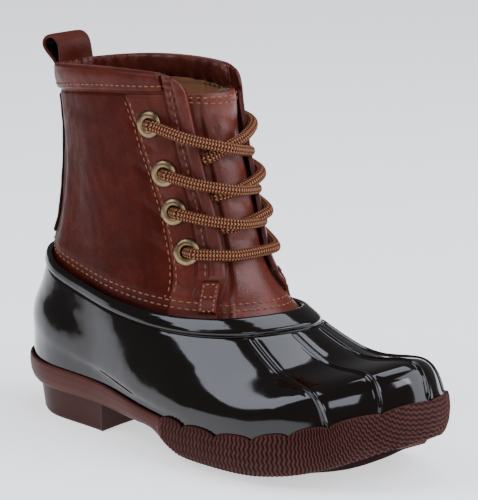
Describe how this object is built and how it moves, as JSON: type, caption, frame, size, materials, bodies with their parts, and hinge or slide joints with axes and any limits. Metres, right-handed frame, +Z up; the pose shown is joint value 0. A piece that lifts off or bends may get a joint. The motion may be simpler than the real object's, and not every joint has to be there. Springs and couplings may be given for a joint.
{
  "type": "duck boot",
  "caption": "Child's lace-up duck boot for the right foot: red-brown leather shaft, glossy dark rubber shell with fanned ribs, brown heeled sole, flecked lace and a pull loop.",
  "frame": {"origin": "centre of the flat bottom of the heel, on the ground", "axes": "+X points from the heel to the toe along the sole, +Y points to the inner side of the foot, +Z points up"},
  "size_m": [0.1801, 0.0721, 0.1402],
  "materials": {
    "brown_rubber": "satin brown rubber with a faint moulding sheen",
    "shell_rubber": "high-gloss very dark brown moulded rubber",
    "foot_bed": "matt brushed foot bed",
    "brown_leather": "semi-gloss red-brown leather with fine grain and soft creases",
    "tongue_leather": "smooth red-brown leather, a little lighter and glossier",
    "dark_leather": "dark brown leather strip",
    "loop_leather": "brown leather strap, darker inside",
    "antique_brass": "dull antique brass",
    "lace_cord": "round woven cord, tan with dark brown flecks"
  },
  "bodies": {
    "root": {"outsole": "brown_rubber", "shell": "shell_rubber", "insole": "foot_bed", "upper": "brown_leather", "tongue": "tongue_leather", "backstay": "dark_leather", "pull_loop": "loop_leather", "eyelet_near_1": "antique_brass", "eyelet_near_2": "antique_brass", "eyelet_near_3": "antique_brass", "eyelet_near_4": "antique_brass", "eyelet_far_1": "antique_brass", "eyelet_far_2": "antique_brass", "eyelet_far_3": "antique_brass", "eyelet_far_4": "antique_brass", "lace_bar": "lace_cord", "lace_cross_1": "lace_cord", "lace_cross_2": "lace_cord", "lace_cross_3": "lace_cord"}
  },
  "joints": []
}
